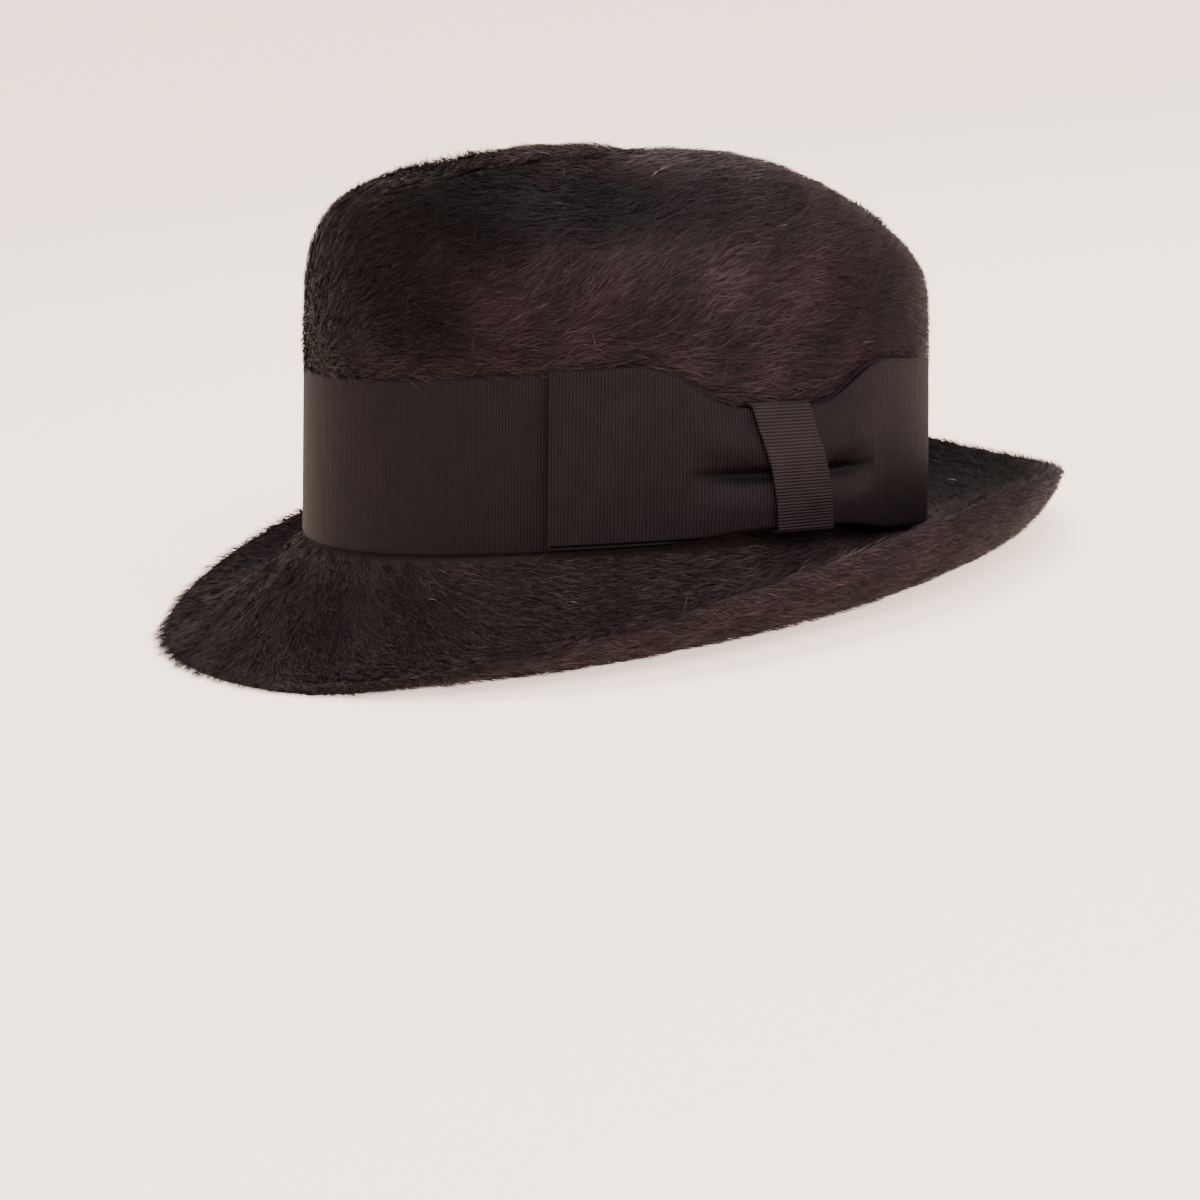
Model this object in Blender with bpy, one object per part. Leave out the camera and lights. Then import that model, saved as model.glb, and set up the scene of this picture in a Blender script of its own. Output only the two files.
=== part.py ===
"""A fur felt trilby, in metres, +Z up, with its front towards -Y and its bow on the +X side.

The crown and the brim are one piece of felt. A wide ribbon runs round the crown, and a flat bow
lies on it, held by a short strip of the same ribbon. The origin is on the surface that the hat
rests on, below the middle of its box.
"""
import math

import bmesh
import bpy
from mathutils import Matrix, Vector

# The head opening and the crown, measured on the outside of the felt.
CROWN_WIDTH = 0.173
CROWN_LENGTH = 0.2086
CROWN_HEIGHT = 0.119
# The line where the brim leaves the crown lies lower at the front and back than at the sides.
BREAK_DIP = 0.0037
FELT_THICKNESS = 0.0026
PINCH_DEPTH = 0.016
PINCH_ANGLE = 60.0
PINCH_SPREAD = 19.0

# The brim, cut to this width where its share below is 1.
BRIM_WIDTH = 0.058
BRIM_CURL = 2.07
# Felt gives way by this much where it rests on a surface.
FELT_PRESS = 0.0014

# The ribbon.
RIBBON_WIDTH = 0.054
RIBBON_THICKNESS = 0.0010
CLEARANCE = 0.0003
RIBBON_LIFT = 0.0010

# The bow: where its middle is, how far it reaches to each side, and its waist.
BOW_ANGLE = 95.8
BOW_REACH = 0.0725
BOW_WIDTH = 0.0525
BOW_FULLNESS = 0.0044
BOW_RISE = 0.0015
WAIST_HEIGHT = 0.0354
WAIST_DROP = 0.0036
WAIST_SWELL = 0.0058
GATHER_LENGTH = 0.028
CREASE_DEPTH = 0.0034
CREASE_LENGTH = 0.026
CREASE_PLACE = 0.46
CREASE_SPREAD = 0.10
KNOT_WIDTH = 0.021
KNOT_EASE = 0.0007
WAIST_MARGIN = 0.003
# The bottom of the strip stands this much further back than its top.
KNOT_LEAN = 0.006

# How finely each piece is divided.
FELT_SEGMENTS = 64
RIBBON_SEGMENTS = 112
BRIM_ROWS = 11
BAND_ROWS = 2
BOW_COLUMNS = 56
BOW_ROWS = 10
KNOT_FRONT_COLUMNS = 12
KNOT_BACK_COLUMNS = 6
KNOT_CORNER_COLUMNS = 3
KNOT_ROWS = 2

# Rings of the crown, from the top of the ribbon up over the ridge and down into the centre dent.
# Reaches are shares of half the crown's width or length, heights shares of its height, the pinch a
# share of its depth, and rows is the number of rows of faces up to that ring.
CROWN_COLUMNS = ("side", "front", "back", "side_height", "front_height", "back_height", "pinch", "rows")
CROWN_RINGS = (
    (0.960, 0.988, 0.986, 0.640, 0.640, 0.590, 0.06, 2),
    (0.897, 0.940, 0.955, 0.800, 0.800, 0.670, 0.42, 3),
    (0.720, 0.868, 0.828, 0.930, 0.865, 0.770, 1.00, 3),
    (0.450, 0.775, 0.585, 1.000, 0.905, 0.875, 0.22, 3),
    (0.270, 0.640, 0.440, 0.940, 0.900, 0.880, 0.10, 2),
    (0.120, 0.380, 0.240, 0.850, 0.840, 0.840, 0.00, 2),
)
DENT_HEIGHT = 0.800
DENT_ROWS = 2
RIBBON_ROWS = 3
# The wall leans in by this share of its half width over the height of the ribbon.
WALL_LEAN = 0.010

# The brim at angles from the front, the same on both sides: the share of its cut width, and the
# slope of the felt in degrees where it leaves the crown and at its edge, up being positive.
BRIM_COLUMNS = ("angle", "cut", "start", "end")
BRIM_SHAPE = (
    (0, 0.966, -43.0, -23.0),
    (30, 1.000, -47.0, -2.0),
    (60, 1.066, -50.0, 51.0),
    (90, 1.068, -41.0, 101.0),
    (120, 0.976, -18.0, 107.0),
    (150, 0.846, 3.0, 72.0),
    (180, 0.786, 11.0, 50.0),
)


def direction(angle):
    """The level direction at an angle in degrees from the front, towards +X."""
    turn = math.radians(angle)
    return Vector((math.sin(turn), -math.cos(turn), 0))


def through(before, start, end, after, share):
    """A point on the smooth curve from start to end that also heeds its neighbours."""
    return (start + 0.5 * share * ((end - before)
            + share * (2 * before - 5 * start + 4 * end - after
            + share * (3 * start - before - 3 * end + after))))


def read_brim(column, angle):
    """A column of the brim's table at any angle, smooth and the same on both sides."""
    index = BRIM_COLUMNS.index(column)
    step = BRIM_SHAPE[1][0]
    place = abs((angle + 180) % 360 - 180) / step
    row = min(int(place), len(BRIM_SHAPE) - 2)
    last = len(BRIM_SHAPE) - 1
    values = []
    for near in range(row - 1, row + 3):
        mirrored = abs(near) if near <= last else 2 * last - near
        values.append(BRIM_SHAPE[mirrored][index])
    return through(*values, place - row)


def break_height(angle):
    return -BREAK_DIP * math.cos(2 * math.radians(angle))


def wall_normal(angle):
    """The level direction that points straight out of the crown's wall."""
    across = direction(angle)
    return Vector((across.x / CROWN_WIDTH, across.y / CROWN_LENGTH, 0)).normalized()


def wall_point(angle, height, out=0.0):
    """A point a given height up the crown's wall behind the ribbon, and a distance out from it."""
    lean = 1 - WALL_LEAN * height / RIBBON_WIDTH
    across = direction(angle)
    point = Vector((across.x * CROWN_WIDTH / 2 * lean, across.y * CROWN_LENGTH / 2 * lean, 0))
    point += wall_normal(angle) * out
    point.z = break_height(angle) + height
    return point


def crown_point(ring, angle):
    """A point of one of the crown's rings."""
    across = direction(angle)
    facing = math.cos(math.radians(angle))
    end = "front" if facing > 0 else "back"
    height = ring["side_height"] + (ring[end + "_height"] - ring["side_height"]) * facing ** 2
    off_pinch = (abs((angle + 180) % 360 - 180) - PINCH_ANGLE) / PINCH_SPREAD
    pinch = ring["pinch"] * PINCH_DEPTH * math.exp(-off_pinch ** 2)
    point = Vector((across.x * CROWN_WIDTH / 2 * ring["side"],
                    across.y * CROWN_LENGTH / 2 * ring[end], height * CROWN_HEIGHT))
    return point - wall_normal(angle) * pinch


def brim_points(angle):
    """The brim at one angle, from its first row out to its edge."""
    width = BRIM_WIDTH * read_brim("cut", angle)
    start = math.radians(read_brim("start", angle))
    end = math.radians(read_brim("end", angle))
    outward = wall_normal(angle)
    point = wall_point(angle, 0)
    points = []
    substeps = 6
    for row in range(BRIM_ROWS):
        for part in range(substeps):
            share = (row + (part + 0.5) / substeps) / BRIM_ROWS
            slope = start + (end - start) * share ** BRIM_CURL
            step = width / BRIM_ROWS / substeps
            point = point + outward * math.cos(slope) * step + Vector((0, 0, math.sin(slope) * step))
        points.append(point)
    return points


def felt_section(angle):
    """The felt's outer surface at one angle, from the middle of the crown out to the brim's edge."""
    knots = [wall_point(angle, RIBBON_WIDTH * 0.5), wall_point(angle, RIBBON_WIDTH)]
    counts = []
    for row in CROWN_RINGS:
        ring = dict(zip(CROWN_COLUMNS, row))
        knots.append(crown_point(ring, angle))
        counts.append(ring["rows"])
    middle = Vector((0, 0, DENT_HEIGHT * CROWN_HEIGHT))
    opposite = crown_point(dict(zip(CROWN_COLUMNS, CROWN_RINGS[-1])), angle + 180)
    knots += [middle, opposite]
    counts.append(DENT_ROWS)
    upward = [wall_point(angle, RIBBON_WIDTH * row / RIBBON_ROWS) for row in range(RIBBON_ROWS + 1)]
    for index, count in enumerate(counts):
        before, start, end, after = knots[index:index + 4]
        upward += [through(before, start, end, after, (step + 1) / count) for step in range(count)]
    return upward[::-1] + brim_points(angle)


def make_material(name, color, roughness):
    material = bpy.data.materials.new(name)
    material.use_nodes = True
    shader = material.node_tree.nodes["Principled BSDF"]
    shader.inputs["Base Color"].default_value = (*color, 1)
    shader.inputs["Roughness"].default_value = roughness
    shader.inputs["Metallic"].default_value = 0
    return material


def finish(mesh_data, name, material, collection, parent):
    """Turn a bmesh into a smooth shaded object of the hat."""
    mesh = bpy.data.meshes.new(name)
    mesh_data.to_mesh(mesh)
    mesh_data.free()
    mesh.materials.append(material)
    mesh.shade_smooth()
    mesh.set_sharp_from_angle(angle=math.radians(50))
    piece = bpy.data.objects.new(name, mesh)
    piece.parent = parent
    collection.objects.link(piece)
    return piece


def felt_mesh():
    """Spin a straight line of points to a flat disc, block it to the hat's form and thicken it."""
    mesh_data = bmesh.new()
    rows = len(felt_section(0))
    spoke = [mesh_data.verts.new((row, 0, 0)) for row in range(rows)]
    edges = [mesh_data.edges.new(pair) for pair in zip(spoke, spoke[1:])]
    bmesh.ops.spin(mesh_data, geom=spoke + edges, cent=(0, 0, 0), axis=(0, 0, 1),
                   angle=2 * math.pi, steps=FELT_SEGMENTS, use_merge=True)
    bmesh.ops.remove_doubles(mesh_data, verts=mesh_data.verts[:], dist=0.01)
    sections = [felt_section(360 * segment / FELT_SEGMENTS) for segment in range(FELT_SEGMENTS)]
    for vertex in mesh_data.verts:
        row = round(vertex.co.xy.length)
        angle = math.atan2(vertex.co.x, -vertex.co.y)
        segment = round(angle / (2 * math.pi) * FELT_SEGMENTS) % FELT_SEGMENTS
        vertex.co = sections[segment][row]
    bmesh.ops.recalc_face_normals(mesh_data, faces=mesh_data.faces[:])
    mesh_data.verts.ensure_lookup_table()
    top = min(mesh_data.verts, key=lambda vertex: vertex.co.xy.length)
    if top.link_faces[0].normal.z < 0:
        bmesh.ops.reverse_faces(mesh_data, faces=mesh_data.faces[:])
    bmesh.ops.solidify(mesh_data, geom=mesh_data.faces[:], thickness=FELT_THICKNESS)
    return mesh_data


def resting_place(points):
    """The turn about X and the lift that set the lowest points of the front and back level."""
    front = [point for point in points if point.y < 0]
    back = [point for point in points if point.y > 0]
    low, high = -0.5, 0.5
    for _ in range(40):
        pitch = (low + high) / 2
        turn = Matrix.Rotation(pitch, 3, "X")
        if min((turn @ p).z for p in front) < min((turn @ p).z for p in back):
            high = pitch
        else:
            low = pitch
    turn = Matrix.Rotation(pitch, 3, "X")
    lowest = min((turn @ p).z for p in points)
    return Matrix.Translation((0, 0, -lowest - FELT_PRESS)) @ turn.to_4x4()


def press_flat(mesh_data, place):
    """Flatten the felt where it rests on the surface."""
    back_again = place.inverted()
    for vertex in mesh_data.verts:
        resting = place @ vertex.co
        if resting.z < 0:
            resting.z = 0
            vertex.co = back_again @ resting


def ribbon_ring(columns, rows, place, thickness):
    """A closed loop of ribbon: place gives the point for shares along and across it."""
    mesh_data = bmesh.new()
    made = bmesh.ops.create_circle(mesh_data, segments=columns, radius=1)
    ring = made["verts"]
    order = {vertex: index for index, vertex in enumerate(ring)}
    spots = {vertex: (order[vertex], 0) for vertex in ring}
    edges = mesh_data.edges[:]
    for row in range(rows):
        grown = bmesh.ops.extrude_edge_only(mesh_data, edges=edges)["geom"]
        fresh = [item for item in grown if isinstance(item, bmesh.types.BMVert)]
        for vertex in fresh:
            others = [edge.other_vert(vertex) for edge in vertex.link_edges]
            column = next(spots[other][0] for other in others if spots.get(other, (0, -1))[1] == row)
            spots[vertex] = (column, row + 1)
        edges = [item for item in grown if isinstance(item, bmesh.types.BMEdge)
                 and all(spots[end][1] == row + 1 for end in item.verts)]
    for vertex, (column, row) in spots.items():
        vertex.co = place(column / columns, row / rows)
    bmesh.ops.recalc_face_normals(mesh_data, faces=mesh_data.faces[:])
    bmesh.ops.solidify(mesh_data, geom=mesh_data.faces[:], thickness=thickness)
    return mesh_data


def smooth_step(share):
    share = max(0.0, min(1.0, share))
    return share * share * (3 - 2 * share)


def angle_along(distance):
    """The angle at a distance from the bow's middle, measured along the ribbon towards the back."""
    angle = BOW_ANGLE
    step = distance / 24
    for _ in range(24):
        turn = math.radians(angle)
        speed = math.hypot(CROWN_WIDTH / 2 * math.cos(turn), CROWN_LENGTH / 2 * math.sin(turn))
        angle += math.degrees(step / speed)
    return angle


def distance_to(angle):
    """The distance along the ribbon from the bow's middle to an angle, towards the back."""
    turn = (angle - BOW_ANGLE + 180) % 360 - 180
    steps = 24
    total = 0.0
    for step in range(steps):
        here = math.radians(BOW_ANGLE + turn * (step + 0.5) / steps)
        total += math.hypot(CROWN_WIDTH / 2 * math.cos(here), CROWN_LENGTH / 2 * math.sin(here))
    return total * math.radians(turn) / steps


def lean(across):
    """How far back the gathered middle stands at a share of the ribbon's width, from its bottom."""
    return KNOT_LEAN * (0.5 - across)


def waist_share(distance, across):
    """1 in the gathered middle of the bow, falling to 0 where the ribbon has spread out."""
    off_middle = abs(distance - lean(across)) - KNOT_WIDTH / 2 - WAIST_MARGIN
    return 1 - smooth_step(off_middle / GATHER_LENGTH)


def swell(across):
    """How far the gathered middle stands out: tucked in at its top, full from half way down."""
    upper = 1 - smooth_step((across - 0.45) / 0.65)
    lower = 0.75 + 0.25 * smooth_step(across / 0.25)
    return WAIST_SWELL * upper * lower


def ribbon_middle(waist):
    """The height of the bow's middle line above the brim's break."""
    return RIBBON_WIDTH / 2 + BOW_RISE - (BOW_RISE + WAIST_DROP) * waist


def behind_bow(waist):
    """How far off the crown's wall the bow starts: outside the band, and the strip at its waist."""
    return 2 * CLEARANCE + RIBBON_THICKNESS + (RIBBON_THICKNESS + CLEARANCE) * waist


def band_point(along, across):
    """The outer face of the ribbon round the crown, drawn together where the bow is gathered."""
    angle = 360 * along
    waist = waist_share(distance_to(angle), across)
    width = RIBBON_WIDTH - RIBBON_LIFT
    middle = RIBBON_LIFT + width / 2
    middle += (ribbon_middle(1) - middle) * waist
    width += (WAIST_HEIGHT - width) * waist
    return wall_point(angle, middle + width * (across - 0.5), CLEARANCE + RIBBON_THICKNESS)


def bow_depth(waist):
    """The outside depth of the folded loop: both layers lie close together in the gathered middle."""
    gathered = 2 * RIBBON_THICKNESS + CLEARANCE
    return BOW_FULLNESS + (gathered - BOW_FULLNESS) * waist


def bow_point(along, across):
    """The outside of the bow's loop of ribbon, folded flat against the band."""
    turn = 2 * math.pi * along
    distance = BOW_REACH * math.cos(turn)
    waist = waist_share(distance, across)
    depth = bow_depth(waist)
    layer = abs(math.sin(turn)) ** 0.3
    if math.sin(turn) > 0:
        past_knot = abs(distance - lean(across)) - KNOT_WIDTH / 2
        fade = 1 - smooth_step(past_knot / CREASE_LENGTH) if past_knot > 0 else 0
        off_crease = (across - CREASE_PLACE) / CREASE_SPREAD
        crease = CREASE_DEPTH * fade * math.exp(-off_crease ** 2)
        edges_turned_in = 0.25 * (1 - waist) * (2 * across - 1) ** 2
        out = depth / 2 * (1 + layer * (1 - edges_turned_in)) + swell(across) * waist - crease
    else:
        out = depth / 2 * (1 - layer)
    height = ribbon_middle(waist) + (BOW_WIDTH + (WAIST_HEIGHT - BOW_WIDTH) * waist) * (across - 0.5)
    return wall_point(angle_along(distance), height, behind_bow(waist) + out)


def corner(out, height, out_reach, height_reach, first, columns):
    """A quarter turn of the knot's outline round one corner of the bow's waist."""
    turns = [math.radians(first + 90 * (step + 1) / (columns + 1)) for step in range(columns)]
    return [(out + out_reach * math.cos(turn), height + height_reach * math.sin(turn)) for turn in turns]


def knot_outline():
    """The strip's outside round the bow's waist, as distances off the wall and heights."""
    ease = KNOT_EASE + RIBBON_THICKNESS
    behind = CLEARANCE + RIBBON_THICKNESS
    back = behind_bow(1)
    bottom = ribbon_middle(1) - WAIST_HEIGHT / 2
    top = bottom + WAIST_HEIGHT
    front = []
    for step in range(KNOT_FRONT_COLUMNS + 1):
        up = step / KNOT_FRONT_COLUMNS
        front.append((back + bow_depth(1) + swell(up) + ease, bottom + WAIST_HEIGHT * up))
    rear = [(back - behind, top - WAIST_HEIGHT * step / KNOT_BACK_COLUMNS)
            for step in range(KNOT_BACK_COLUMNS + 1)]
    count = KNOT_CORNER_COLUMNS
    top_front = corner(front[-1][0] - ease, top, ease, ease, 0, count)
    top_rear = corner(back, top, behind, ease, 90, count)
    bottom_rear = corner(back, bottom, behind, ease, 180, count)
    bottom_front = corner(front[0][0] - ease, bottom, ease, ease, 270, count)
    return front + top_front + top_rear + rear + bottom_rear + bottom_front


def knot_point(along, across):
    """The outside of the strip that wraps the bow's waist, over its top and back behind it."""
    outline = knot_outline()
    out, height = outline[round(along * len(outline))]
    up = (height - ribbon_middle(1)) / WAIST_HEIGHT + 0.5
    middle_radius = (CROWN_WIDTH + CROWN_LENGTH) / 4
    width = KNOT_WIDTH * middle_radius / (middle_radius + out)
    return wall_point(angle_along(width * (0.5 - across) + lean(up)), height, out)


def main():
    for old in list(bpy.data.objects):
        bpy.data.objects.remove(old, do_unlink=True)
    hat = bpy.data.collections.new("trilby")
    bpy.context.scene.collection.children.link(hat)
    felt = make_material("brown_fur_felt", (0.035, 0.023, 0.022), 0.85)
    ribbon = make_material("brown_grosgrain", (0.030, 0.019, 0.020), 0.6)
    rest = bpy.data.objects.new("rest", None)
    hat.objects.link(rest)

    body = felt_mesh()
    place = resting_place([vertex.co for vertex in body.verts])
    press_flat(body, place)
    lengths = [(place @ vertex.co).y for vertex in body.verts]
    rest.matrix_world = Matrix.Translation((0, -(min(lengths) + max(lengths)) / 2, 0)) @ place
    finish(body, "felt_body", felt, hat, rest)
    band = ribbon_ring(RIBBON_SEGMENTS, BAND_ROWS, band_point, RIBBON_THICKNESS)
    finish(band, "hat_band", ribbon, hat, rest)
    bow = ribbon_ring(BOW_COLUMNS, BOW_ROWS, bow_point, RIBBON_THICKNESS)
    finish(bow, "bow", ribbon, hat, rest)
    knot = ribbon_ring(len(knot_outline()), KNOT_ROWS, knot_point, RIBBON_THICKNESS)
    finish(knot, "bow_knot", ribbon, hat, rest)


main()
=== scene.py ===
"""A trilby of long-napped fur felt with a wide ribbed ribbon and a flat bow."""
import math

import bmesh
import bpy
import numpy as np
from mathutils import Matrix, Vector


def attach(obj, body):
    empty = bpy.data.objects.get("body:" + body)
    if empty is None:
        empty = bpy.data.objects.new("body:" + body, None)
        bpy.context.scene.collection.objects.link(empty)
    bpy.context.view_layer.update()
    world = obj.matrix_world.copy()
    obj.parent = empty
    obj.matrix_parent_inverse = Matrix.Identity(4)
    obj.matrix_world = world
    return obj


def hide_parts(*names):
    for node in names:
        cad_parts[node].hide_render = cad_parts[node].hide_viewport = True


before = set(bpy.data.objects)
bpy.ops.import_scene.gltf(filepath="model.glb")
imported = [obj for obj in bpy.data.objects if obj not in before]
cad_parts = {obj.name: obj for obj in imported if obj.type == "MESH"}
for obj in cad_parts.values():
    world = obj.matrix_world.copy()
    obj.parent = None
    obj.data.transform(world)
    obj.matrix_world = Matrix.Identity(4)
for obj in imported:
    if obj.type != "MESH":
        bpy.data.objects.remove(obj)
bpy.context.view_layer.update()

# The felt: one piece of fur felt, blocked to a crown with a dent and two pinches, and brushed so
# that its nap lies flat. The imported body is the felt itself, dark and matted below the long fur.
class Value:
    """A shader socket that takes part in sums."""

    def __init__(self, tree, socket):
        self.tree = tree
        self.socket = socket

    def _math(self, operation, *values):
        node = self.tree.nodes.new("ShaderNodeMath")
        node.operation = operation
        for port, value in zip(node.inputs, values):
            if isinstance(value, Value):
                self.tree.links.new(value.socket, port)
            else:
                port.default_value = value
        return Value(self.tree, node.outputs[0])

    def __add__(self, other):
        return self._math("ADD", self, other)

    __radd__ = __add__

    def __sub__(self, other):
        return self._math("SUBTRACT", self, other)

    def __rsub__(self, other):
        return self._math("SUBTRACT", other, self)

    def __mul__(self, other):
        return self._math("MULTIPLY", self, other)

    __rmul__ = __mul__

    def __truediv__(self, other):
        return self._math("DIVIDE", self, other)

    def does(self, operation, *others):
        return self._math(operation, self, *others)


class Finish:
    """A material under construction, on one Principled shader."""

    def __init__(self, name, **sockets):
        self.material = bpy.data.materials.new(name)
        self.material.use_nodes = True
        self.tree = self.material.node_tree
        self.shader = self.tree.nodes["Principled BSDF"]
        for socket, value in sockets.items():
            self.shader.inputs[socket.replace("_", " ")].default_value = value

    def node(self, kind, settings=None, inputs=None, output=0):
        made = self.tree.nodes.new("ShaderNode" + kind)
        for key, value in (settings or {}).items():
            if key == "stops":
                for index, (place, color) in enumerate(value):
                    stops = made.color_ramp.elements
                    stop = stops[index] if index < len(stops) else stops.new(place)
                    stop.position = place
                    stop.color = (*color, 1)
            else:
                setattr(made, key, value)
        for key, value in (inputs or {}).items():
            if isinstance(value, Value):
                self.tree.links.new(value.socket, made.inputs[key])
            else:
                made.inputs[key].default_value = value
        return Value(self.tree, made.outputs[output])

    def feed(self, socket, value):
        self.tree.links.new(value.socket, self.shader.inputs[socket])

    def place(self):
        return self.node("TexCoord", output="Object")

    def noise(self, scale, detail, roughness):
        return self.node("TexNoise", inputs={"Scale": scale, "Detail": detail, "Roughness": roughness,
                                             "Vector": self.place()}, output="Fac")

    def bump(self, height, distance):
        return self.node("Bump", inputs={"Height": height, "Distance": distance, "Strength": 1.0},
                         output="Normal")


FELT_DARK = (0.0040, 0.0025, 0.0024)
FELT_LIGHT = (0.0110, 0.0070, 0.0068)
FELT_RELIEF = 0.0006

felt = Finish("matted_felt", Roughness=0.9, Specular_IOR_Level=0.15)
matting = felt.noise(420.0, 5.0, 0.65)
felt.feed("Base Color", felt.node("ValToRGB", {"stops": ((0.3, FELT_DARK), (0.75, FELT_LIGHT))},
                                  {"Fac": matting}))
felt.feed("Normal", felt.bump(matting, FELT_RELIEF))
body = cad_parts["felt_body"]
body.data.materials.clear()
body.data.materials.append(felt.material)

# The nap: long fur drawn out of the felt, brushed round the crown and outwards over the front of the
# brim. Each hair is a narrow blade rooted in the felt and bent over. It is laid in the hat's own
# frame, whose origin is in the middle of the line where the brim breaks from the crown.
REST_PITCH = math.radians(-7.394)
REST_PLACE = Vector((0, 0.00256, 0.01843))
HAT_TO_WORLD = Matrix.Translation(REST_PLACE) @ Matrix.Rotation(REST_PITCH, 4, "X")
TURN = np.array(HAT_TO_WORLD.to_3x3())
PLACE = np.array(REST_PLACE)
CROWN_HALF_WIDTH = 0.0865
CROWN_HALF_LENGTH = 0.1043
CROWN_MARGIN = 0.0006
CROWN_START = 0.002
BRIM_TOP_MARGIN = 0.0012
BRIM_BELOW_MARGIN = 0.0006
FOOT_MARGIN = 0.0004
FOOT_REACH = 0.004
BREAK_DIP = 0.0037

RIBBON_WIDTH = 0.054
BOW_ANGLE = math.radians(95.8)
WAIST_TOP = 0.0411
WAIST_BOTTOM = 0.0057
WAIST_HALF = 0.0135
GATHER_LENGTH = 0.028
COVER_TOP_MARGIN = 0.0004
COVER_BOTTOM_MARGIN = 0.0012

NAP_SEED = 7
HAIR_COUNT = 62000
HAIR_WIDTH = 0.00022
SPARE_SHARE = 1.35
ROOT_DEPTH = 0.0003
FLOOR_GAP = 0.0003
WILD_SHARE = 0.02
PALE_SHARE = 0.0003
PALE_TINT = 1.6
# Painted shade and a painted highlight on the nap, as shares taken from or added to a hair's tone.
PINCH_PAINTED_SHADE = 0.80
FRONT_PAINTED_SHADE = 0.60
TIP_PAINTED_SHADE = 0.35
BACK_PAINTED_SHADE = 0.45
RIDGE_PAINTED_HIGHLIGHT = 0.30


def felt_surface():
    """The felt's triangles in the hat's frame, with smooth normals at their corners."""
    mesh = body.data
    mesh.calc_loop_triangles()
    count = len(mesh.vertices)
    world = np.empty(count * 3, np.float32)
    mesh.vertices.foreach_get("co", world)
    world = world.reshape(-1, 3).astype(float)
    corners = np.empty(len(mesh.loop_triangles) * 3, np.int32)
    mesh.loop_triangles.foreach_get("vertices", corners)
    corners = corners.reshape(-1, 3)
    points = (world - PLACE) @ TURN
    spots, same = np.unique(np.round(points / 1e-5).astype(np.int64), axis=0, return_inverse=True)
    same = same.reshape(-1)
    a, b, c = (points[corners[:, k]] for k in range(3))
    facing = np.cross(b - a, c - a)
    normals = np.zeros((len(spots), 3))
    for k in range(3):
        np.add.at(normals, same[corners[:, k]], facing)
    normals /= np.maximum(np.linalg.norm(normals, axis=1), 1e-12)[:, None]
    return points, corners, normals[same], facing


def angle_of(points):
    """The angle round the crown, from the middle of the front towards the wearer's left."""
    return np.arctan2(points[:, 0] / CROWN_HALF_WIDTH, -points[:, 1] / CROWN_HALF_LENGTH)


def outward_of(points):
    """The level direction straight out of the crown's outline."""
    angle = angle_of(points)
    out = np.stack([np.sin(angle) / CROWN_HALF_WIDTH, -np.cos(angle) / CROWN_HALF_LENGTH,
                    np.zeros(len(points))], 1)
    return out / np.linalg.norm(out, axis=1)[:, None]


def break_height(angle):
    """The height of the line where the brim leaves the crown, which dips in front and behind."""
    return -BREAK_DIP * np.cos(2 * angle)


def within_crown(points, margin):
    """Whether a place is inside the crown's outline at the break, widened by a margin."""
    return np.hypot(points[:, 0] / (CROWN_HALF_WIDTH + margin),
                    points[:, 1] / (CROWN_HALF_LENGTH + margin)) < 1


def ribbon_cover(angle, height):
    """Whether a place on the crown's wall lies behind the ribbon, given its height above the break."""
    along = np.abs(angle - BOW_ANGLE) * CROWN_HALF_LENGTH
    share = np.clip((along - WAIST_HALF) / GATHER_LENGTH, 0, 1)
    spread = share * share * (3 - 2 * share)
    top = WAIST_TOP + (RIBBON_WIDTH - WAIST_TOP) * spread
    bottom = WAIST_BOTTOM * (1 - spread)
    return (height < top - COVER_TOP_MARGIN) & (height > bottom - COVER_BOTTOM_MARGIN)


def crown_share(points, normals):
    """Which places are on the outside of the crown, clear of the ribbon."""
    angle = angle_of(points)
    height = points[:, 2] - break_height(angle)
    out = (normals * outward_of(points)).sum(1)
    outside = (normals[:, 2] > -0.1) & ((out > 0) | (normals[:, 2] > 0.25))
    above_break = height > CROWN_START
    return within_crown(points, CROWN_MARGIN) & outside & above_break & ~ribbon_cover(angle, height)


def brim_side(points, normals):
    """Positive on the upper side of the brim, negative on its raw edge and below it."""
    out = (normals * outward_of(points)).sum(1)
    return 0.87 * normals[:, 2] - 0.5 * out


def brim_top_share(points, normals):
    """Which places are on the upper side of the brim."""
    return ~within_crown(points, BRIM_TOP_MARGIN) & (brim_side(points, normals) > 0)


def brim_below_share(points, normals):
    """Which places are on the underside of the brim or on its raw edge."""
    return ~within_crown(points, BRIM_BELOW_MARGIN) & (brim_side(points, normals) <= 0)


def smooth_wave(points, scale, phase):
    """A gentle wandering value between -1 and 1, the same for hairs that grow close together."""
    x, y, z = (points / scale).T
    return (np.sin(x + 1.7 * np.sin(0.6 * y + phase) + z) + np.sin(1.3 * y - 0.8 * z + 2.1 * phase)
            + np.sin(1.1 * z + 0.9 * x - phase)) / 3


def crown_nap(points, normals):
    """The brushed direction on the crown: round it, sweeping up below the pinch on each side."""
    angle = angle_of(points)
    around = np.stack([np.cos(angle), np.sin(angle), np.zeros(len(points))], 1)
    height = points[:, 2]
    below_pinch = np.exp(-((np.abs(angle) - 1.15) / 0.45) ** 2 - ((height - 0.078) / 0.016) ** 2)
    front = np.exp(-(angle / 0.5) ** 2) * np.clip((height - 0.05) / 0.03, 0, 1)
    back = np.clip((np.abs(angle) - 1.7) / 0.8, 0, 1)
    up = 0.06 + 0.75 * below_pinch + 0.8 * front - 0.22 * back
    up += 0.22 * smooth_wave(points, 0.011, 0.4)
    return around + up[:, None] * np.array([0, 0, 1.0])


def brim_nap(points, normals):
    """The brushed direction on the brim: round it, and outwards over the front."""
    angle = angle_of(points)
    around = np.stack([np.cos(angle), np.sin(angle), np.zeros(len(points))], 1)
    front = np.exp(-(angle / 0.75) ** 2)
    outwards = 0.12 + 0.9 * front + 0.25 * smooth_wave(points, 0.012, 2.0)
    return around * (1 - 0.55 * front)[:, None] + outwards[:, None] * outward_of(points)


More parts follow.
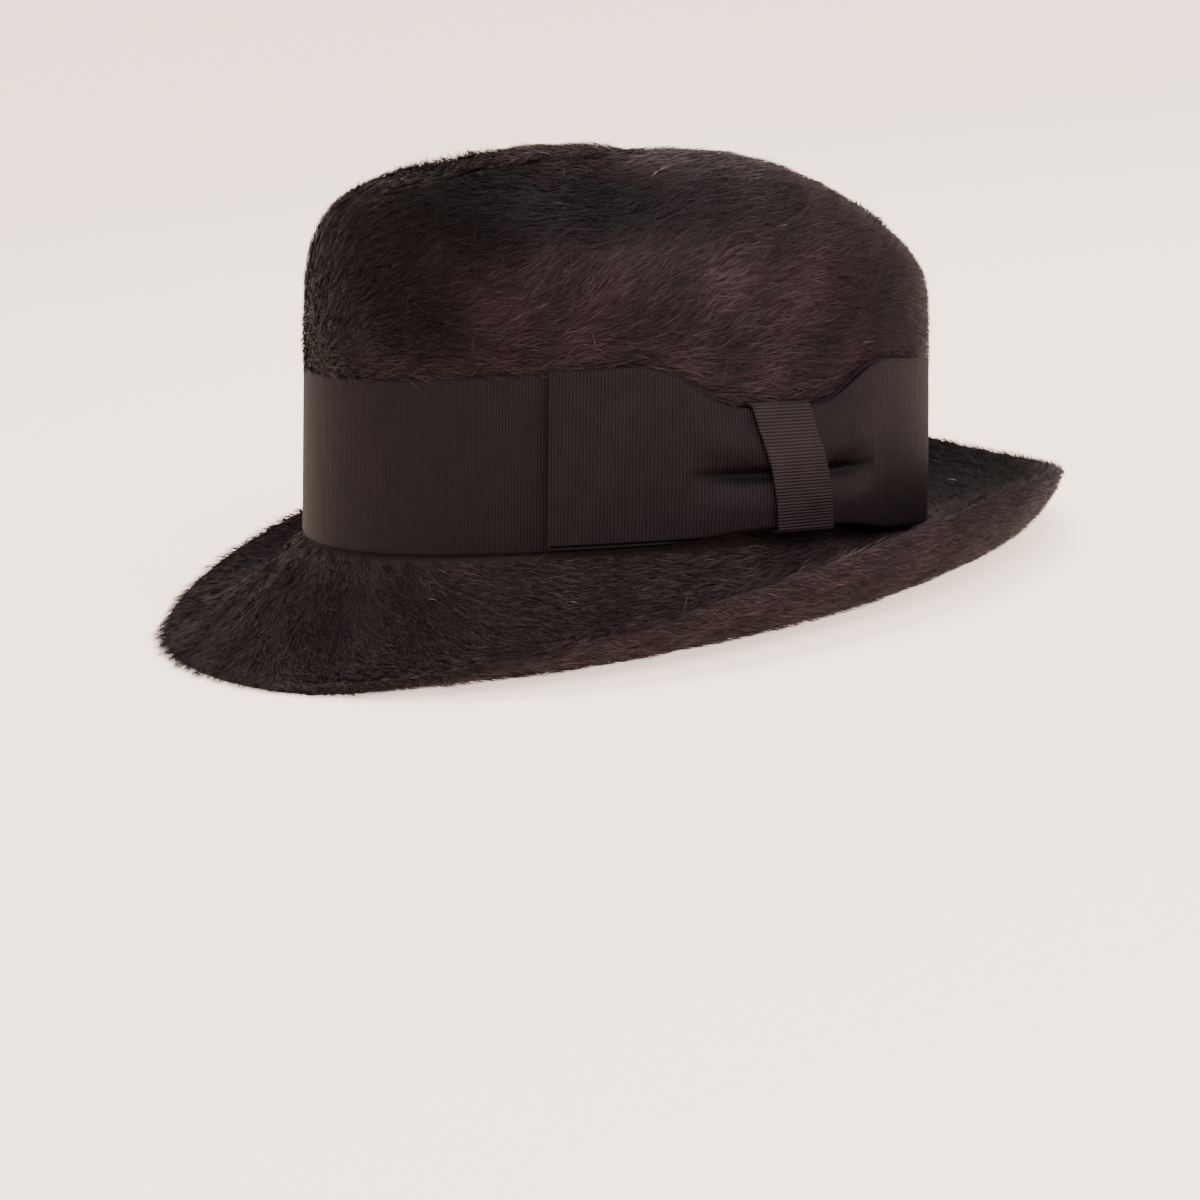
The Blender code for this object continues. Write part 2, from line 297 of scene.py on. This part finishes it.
def painted_nap_shading(points):
    """Painted shade and highlight on the nap: painted shade in the pinches, up the front of the crown, at
    the front of the brim and round the back, and a painted highlight along the ridge.
    """
    angle = np.abs(angle_of(points))
    height = points[:, 2]
    pinch = np.exp(-((angle - 1.05) / 0.46) ** 2 - ((height - 0.101) / 0.011) ** 2)
    ridge = np.clip((height - 0.108) / 0.006, 0, 1)
    front = np.exp(-((angle - 0.2) / 0.52) ** 4) * np.clip((height - 0.052) / 0.012, 0, 1)
    tip = np.exp(-(angle / 0.6) ** 2) * (height < -0.010)
    back = np.clip((angle - 1.6) / 0.6, 0, 1)
    darker = 1 - PINCH_PAINTED_SHADE * pinch - FRONT_PAINTED_SHADE * front - TIP_PAINTED_SHADE * tip
    return darker + RIDGE_PAINTED_HIGHLIGHT * ridge - BACK_PAINTED_SHADE * back


def grow(name, share, nap, hairs, length, lift, finish, seed):
    """Grow hairs over the part of the felt that share picks out, lying the way nap says."""
    random = np.random.default_rng(seed)
    points, corners, normals, facing = SURFACE
    middle = points[corners].mean(1)
    flat = facing / np.linalg.norm(facing, axis=1)[:, None]
    weight = np.linalg.norm(facing, axis=1) * (share(middle, flat) | share(points[corners[:, 0]], flat))
    picks = random.choice(len(corners), int(hairs * SPARE_SHARE), p=weight / weight.sum())
    u, v = random.random((2, len(picks)))
    over = u + v > 1
    u[over], v[over] = 1 - u[over], 1 - v[over]
    mix = np.stack([1 - u - v, u, v], 1)[:, :, None]
    roots = (points[corners[picks]] * mix).sum(1)
    up = (normals[corners[picks]] * mix).sum(1)
    up /= np.linalg.norm(up, axis=1)[:, None]
    kept = np.flatnonzero(share(roots, flat[picks]))[:hairs]
    roots, up, facet = roots[kept], up[kept], flat[picks[kept]]
    foot = within_crown(roots, FOOT_REACH) & ~within_crown(roots, FOOT_MARGIN)
    up[foot] = facet[foot]
    count = len(roots)
    way = nap(roots, up)
    way -= (way * up).sum(1)[:, None] * up
    way /= np.maximum(np.linalg.norm(way, axis=1), 1e-9)[:, None]
    side = np.cross(up, way)
    stray = random.normal(0, 0.20, count) + 0.28 * smooth_wave(roots, 0.0032, 1.3)
    wild = random.random(count) < WILD_SHARE
    stray[wild] += random.normal(0, 0.7, wild.sum())
    way, side = (way * np.cos(stray)[:, None] + side * np.sin(stray)[:, None],
                 side * np.cos(stray)[:, None] - way * np.sin(stray)[:, None])
    roots[foot] -= way[foot] * length * 0.4
    long = length * random.uniform(0.65, 1.25, count)
    high = lift * random.uniform(0.3, 1.5, count) * (1 + 0.45 * smooth_wave(roots, 0.0045, 0.2))
    high[wild] *= 1.7
    roll = random.normal(0, 0.5, count)
    across = side * np.cos(roll)[:, None] + up * np.sin(roll)[:, None]
    width = HAIR_WIDTH * random.uniform(0.7, 1.3, count)
    sag = random.normal(0, 0.1, count)
    stations = ((0.0, -ROOT_DEPTH, 1.0), (0.45, 0.75, 0.85), (1.0, 1.0, 0.0))
    rows = []
    for along, rise, wide in stations:
        lifted = rise * high if along else np.full(count, rise)
        middle_line = roots + way * (long * along)[:, None] + up * lifted[:, None]
        middle_line += side * (sag * long * along * along)[:, None]
        edge = across * (width * wide / 2)[:, None]
        rows += [middle_line - edge, middle_line + edge] if wide else [middle_line]
    blade = np.stack(rows, 1)
    world = blade.reshape(-1, 3) @ TURN.T + PLACE
    world[:, 2] = np.maximum(world[:, 2], FLOOR_GAP)
    mesh = bpy.data.meshes.new(name)
    mesh.vertices.add(count * 5)
    mesh.vertices.foreach_set("co", world.astype(np.float32).ravel())
    first = np.arange(count)[:, None] * 5
    loops = np.concatenate([first + (0, 1, 3, 2), first + (2, 3, 4)], 1)
    mesh.loops.add(count * 7)
    mesh.loops.foreach_set("vertex_index", loops.astype(np.int32).ravel())
    mesh.polygons.add(count * 2)
    starts = np.stack([np.arange(count) * 7, np.arange(count) * 7 + 4], 1)
    mesh.polygons.foreach_set("loop_start", starts.astype(np.int32).ravel())
    mesh.update(calc_edges=True)
    tone_and_painted_shading = np.clip(random.normal(0.5, 0.16, count) + 0.15 * smooth_wave(roots, 0.006, 0.9), 0, 1)
    # Painted shade in the pinches, up the front and round the back, and a painted highlight on the ridge,
    # are multiplied into each hair's tone.
    tone_and_painted_shading *= painted_nap_shading(roots)
    tone_and_painted_shading[random.random(count) < PALE_SHARE] = PALE_TINT
    root_to_tip = np.array([0.0, 0.0, 0.5, 0.5, 1.0])
    shade = np.repeat(tone_and_painted_shading, 5) * (0.65 + 0.35 * np.tile(root_to_tip, count))
    mesh.attributes.new("tone_and_painted_shading", "FLOAT", "POINT").data.foreach_set("value", shade.astype(np.float32))
    cells = math.ceil(math.sqrt(count))
    cell = np.stack([np.arange(count) % cells, np.arange(count) // cells], 1)[:, None, :]
    inside = np.array([(0.1, 0.1), (0.9, 0.1), (0.9, 0.5), (0.1, 0.5), (0.1, 0.5), (0.9, 0.5), (0.5, 0.9)])
    flat_map = (cell + inside[None]) / cells
    mesh.uv_layers.new(name="OFBake").data.foreach_set("uv", flat_map.astype(np.float32).ravel())
    mesh.shade_smooth()
    mesh.materials.append(finish.material)
    piece = bpy.data.objects.new(name, mesh)
    bpy.context.scene.collection.objects.link(piece)
    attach(piece, "root")


FUR_DARK = (0.0034, 0.0020, 0.0024)
FUR_MIDDLE = (0.0170, 0.0100, 0.0112)
FUR_LIGHT = (0.0520, 0.0350, 0.0370)
FUR_STRAY = (0.1500, 0.1250, 0.1200)

fur = Finish("brushed_fur", Roughness=0.45, Specular_IOR_Level=0.06)
# Each hair's tone, with its painted shade and highlight, picks the fur's colour.
tone_and_painted_shading = fur.node("Attribute", {"attribute_name": "tone_and_painted_shading"}, output="Fac")
fur.feed("Base Color", fur.node("ValToRGB", {"stops": (
    (0.12, FUR_DARK), (0.45, FUR_MIDDLE), (0.85, FUR_LIGHT), (1.0, FUR_STRAY))}, {"Fac": tone_and_painted_shading}))

SURFACE = felt_surface()
hair_count = HAIR_COUNT
NAPS = (("crown_nap", crown_share, crown_nap, 1.0, 0.0078, 0.0012, NAP_SEED),
        ("brim_nap", brim_top_share, brim_nap, 0.75, 0.0060, 0.0010, NAP_SEED + 10),
        ("brim_lower_nap", brim_below_share, brim_nap, 0.5, 0.0052, 0.0008, NAP_SEED + 20))


def half(share, sign):
    """The places that share picks out on the wearer's left, or on the right where sign is -1."""
    return lambda points, normals: share(points, normals) & (points[:, 0] * sign >= 0)


for side_name, sign in (("left", 1), ("right", -1)):
    for nap_name, share, nap, amount, length, lift, seed in NAPS:
        grow(f"{nap_name}_{side_name}", half(share, sign), nap, int(hair_count * amount), length, lift,
             fur, seed + sign)

# The ribbon: grosgrain, woven with fine ribs across its width, laid flat round the crown. A loop of
# it makes the bow, with a deep fold on each side of the knot and a hem along the bottom of the front
# loop, each pressed into the bump and darkened in the colour as a painted shadow. A narrow strip with
# level ribs makes the knot; its colour is painted lighter than the band's, a painted highlight.
RIB_COUNT = 640
RIB_DEPTH = 0.00013
STRIP_RIB = 0.00098
STRIP_RIB_DEPTH = 0.00022
FOLD_HEIGHT = 0.0256
FOLD_WIDTH = 0.0019
FOLD_DEPTH = 0.0016
FOLD_HOLLOW = 0.0030
FOLD_HOLLOW_WIDTH = 0.0085
FOLD_START = 0.0105
FOLD_LENGTH = 0.022
LOOP_REACH = 0.0715
HEM_HEIGHT = 0.0030
HEM_WIDTH = 0.0004
HEM_DEPTH = 0.0005
RIBBON_DARK = (0.0013, 0.0008, 0.0010)
RIBBON_LIGHT = (0.0100, 0.0064, 0.0080)
# The knot's light colour is about twice the band's: a painted highlight on the knot.
STRIP_PAINTED_LIGHT = (0.0215, 0.0145, 0.0170)
WELD = 0.00001
EDGE_ANGLE = math.radians(55)
EDGE_CREASE = 0.8


def hat_axes(finish):
    """The hat's own x, y and z at a place on a piece, from its Object coordinates."""
    turned = finish.node("Mapping", {"vector_type": "TEXTURE"},
                         {"Vector": finish.place(), "Location": REST_PLACE, "Rotation": (REST_PITCH, 0, 0)})
    return [finish.node("SeparateXYZ", inputs={"Vector": turned}, output=axis) for axis in "XYZ"]


def bell(offset):
    """1 where an offset is 0, falling away smoothly on both sides."""
    return (offset * offset * -1.0).does("EXPONENT")


def grosgrain(name, ribs_along, light):
    """Ribbed ribbon: a rounded rib with a dark line of shadow between it and the next."""
    finish = Finish(name, Roughness=0.6, Specular_IOR_Level=0.05)
    x, y, z = hat_axes(finish)
    if ribs_along == "height":
        phase = z * (2 * math.pi / STRIP_RIB)
        depth = STRIP_RIB_DEPTH
        fold_and_painted_shadow = 0.0
        hollow = 0.0
        hem_and_painted_shadow = 0.0
    else:
        angle = (x / CROWN_HALF_WIDTH).does("ARCTAN2", y * (-1 / CROWN_HALF_LENGTH))
        phase = angle * RIB_COUNT
        depth = RIB_DEPTH
        distance = (angle - BOW_ANGLE) * CROWN_HALF_LENGTH
        past_knot = distance.does("ABSOLUTE") - FOLD_START
        fade = (1 - past_knot / FOLD_LENGTH).does("MAXIMUM", 0.0).does("MINIMUM", 1.0).does("POWER", 0.7)
        # The fold is pressed into the bump and also darkened in the colour as a painted shadow.
        fold_and_painted_shadow = bell((z - FOLD_HEIGHT) / FOLD_WIDTH) * fade
        hollow = bell((z - FOLD_HEIGHT) / FOLD_HOLLOW_WIDTH) * fade
        height = z + (angle * 2.0).does("COSINE") * BREAK_DIP
        on_loop = distance.does("LESS_THAN", -FOLD_START) * distance.does("GREATER_THAN", -LOOP_REACH)
        # The hem is a step in the bump and a line of painted shadow in the colour.
        hem_and_painted_shadow = bell((height - HEM_HEIGHT) / HEM_WIDTH) * on_loop
    rib = phase.does("SINE") * 0.5 + 0.5
    rounded = rib.does("POWER", 0.6)
    wear = finish.noise(160.0, 4.0, 0.6)
    threads = finish.noise(2600.0, 2.0, 0.5)
    # Painted shadow: the colour is darkened along each fold's crease and along the hem's edge.
    shade = rounded * 0.5 + wear * 0.35 + threads * 0.2 - fold_and_painted_shadow - hem_and_painted_shadow * 0.7
    finish.feed("Base Color", finish.node("ValToRGB", {"stops": ((0.15, RIBBON_DARK), (0.95, light))},
                                          {"Fac": shade}))
    relief = (rounded + threads * 0.25) * depth - fold_and_painted_shadow * FOLD_DEPTH - hollow * FOLD_HOLLOW - hem_and_painted_shadow * HEM_DEPTH
    finish.feed("Normal", finish.bump(relief, 1.0))
    return finish.material


def ribbon_piece(name, node_name, material):
    """Redraw a packed ribbon with its bends rounded and its cut edges kept crisp."""
    cloth = bmesh.new()
    cloth.from_mesh(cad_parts[node_name].data)
    bmesh.ops.remove_doubles(cloth, verts=cloth.verts[:], dist=WELD)
    bmesh.ops.join_triangles(cloth, faces=cloth.faces[:], angle_face_threshold=math.radians(60),
                             angle_shape_threshold=math.radians(120))
    crease = cloth.edges.layers.float.new("crease_edge")
    for edge in cloth.edges:
        if len(edge.link_faces) == 2 and edge.calc_face_angle() > EDGE_ANGLE:
            edge[crease] = EDGE_CREASE
    mesh = bpy.data.meshes.new(name)
    cloth.to_mesh(mesh)
    cloth.free()
    mesh.shade_smooth()
    mesh.materials.append(material)
    piece = bpy.data.objects.new(name, mesh)
    bpy.context.scene.collection.objects.link(piece)
    rounding = piece.modifiers.new("rounding", "SUBSURF")
    rounding.levels = rounding.render_levels = 2
    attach(piece, "root")
    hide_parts(node_name)


ribbed = grosgrain("grosgrain_ribbon", "round", RIBBON_LIGHT)
ribbed_strip = grosgrain("grosgrain_strip", "height", STRIP_PAINTED_LIGHT)
ribbon_piece("ribbon_band", "hat_band", ribbed)
ribbon_piece("ribbon_bow", "bow", ribbed)
ribbon_piece("ribbon_knot", "bow_knot", ribbed_strip)

# The studio: a plain pale floor that glows and rises gently in the distance, soft light from above
# and from the camera's side, and the camera at the photograph's angle to the hat.
FLOOR_COLOR = (0.94, 0.76, 0.63, 1)
FLOOR_FLAT = 1.6
FLOOR_REACH = 14.0
FLOOR_RINGS = 24
FLOOR_SPOKES = 96
FLOOR_RISE = 0.045
FLOOR_WELD = 0.0001
FLOOR_GLOW = 1.5
SKY_COLOR = (1.0, 0.975, 0.96, 1)
SKY_STRENGTH = 1.15
LIGHTS_AIM = Vector((0, 0, 0.06))
sweep = bmesh.new()
spoke = []
for ring in range(FLOOR_RINGS + 1):
    reach = FLOOR_REACH * ring / FLOOR_RINGS
    spoke.append(sweep.verts.new((reach, 0, FLOOR_RISE * max(0.0, reach - FLOOR_FLAT) ** 2)))
lines = [sweep.edges.new(pair) for pair in zip(spoke, spoke[1:])]
bmesh.ops.spin(sweep, geom=spoke + lines, cent=(0, 0, 0), axis=(0, 0, 1), angle=2 * math.pi,
               steps=FLOOR_SPOKES, use_merge=True)
bmesh.ops.remove_doubles(sweep, verts=sweep.verts[:], dist=FLOOR_WELD)
bmesh.ops.recalc_face_normals(sweep, faces=sweep.faces[:])
floor_mesh = bpy.data.meshes.new("floor")
sweep.to_mesh(floor_mesh)
sweep.free()
floor_mesh.shade_smooth()
floor = bpy.data.objects.new("floor", floor_mesh)
bpy.context.scene.collection.objects.link(floor)
pale = Finish("pale_floor", Base_Color=FLOOR_COLOR, Roughness=0.9, Specular_IOR_Level=0.1,
              Emission_Color=FLOOR_COLOR, Emission_Strength=FLOOR_GLOW)
floor.data.materials.append(pale.material)

world = bpy.data.worlds.new("studio")
world.use_nodes = True
world.node_tree.nodes["Background"].inputs["Color"].default_value = SKY_COLOR
world.node_tree.nodes["Background"].inputs["Strength"].default_value = SKY_STRENGTH
bpy.context.scene.world = world


def soft_light(name, place, size, power):
    """A square soft light that faces the hat."""
    light = bpy.data.lights.new(name, "AREA")
    light.size = size
    light.energy = power
    lamp = bpy.data.objects.new(name, light)
    lamp.location = place
    lamp.rotation_euler = (LIGHTS_AIM - Vector(place)).to_track_quat("-Z", "Y").to_euler()
    bpy.context.scene.collection.objects.link(lamp)


soft_light("key", (1.5, -0.45, 1.2), 0.9, 42)
soft_light("fill", (1.6, 0.9, 0.9), 1.2, 15)
soft_light("top", (-0.3, 0.3, 1.9), 1.2, 34)
soft_light("low", (1.6, 0.25, 0.45), 0.8, 7)

CAMERA_AZIMUTH = math.radians(63.95)
CAMERA_ELEVATION = math.radians(10.43)
CAMERA_ROLL = math.radians(0.48)
CAMERA_DISTANCE = 0.8824
CAMERA_ASIDE = -0.00632
CAMERA_UP = -0.02779
CAMERA_LENS = 80.47

toward = Vector((math.sin(CAMERA_AZIMUTH) * math.cos(CAMERA_ELEVATION),
                 -math.cos(CAMERA_AZIMUTH) * math.cos(CAMERA_ELEVATION), math.sin(CAMERA_ELEVATION)))
right = Vector((math.cos(CAMERA_AZIMUTH), math.sin(CAMERA_AZIMUTH), 0))
upward = toward.cross(right)
rolled_right = right * math.cos(CAMERA_ROLL) + upward * math.sin(CAMERA_ROLL)
rolled_up = upward * math.cos(CAMERA_ROLL) - right * math.sin(CAMERA_ROLL)
spot = toward * CAMERA_DISTANCE + rolled_right * CAMERA_ASIDE + rolled_up * CAMERA_UP
pose = Matrix((rolled_right, rolled_up, toward)).transposed().to_4x4()
camera_data = bpy.data.cameras.new("camera")
camera_data.lens = CAMERA_LENS
camera_data.sensor_width = 36
camera = bpy.data.objects.new("camera", camera_data)
camera.matrix_world = HAT_TO_WORLD @ Matrix.Translation(spot) @ pose
bpy.context.scene.collection.objects.link(camera)
bpy.context.scene.camera = camera
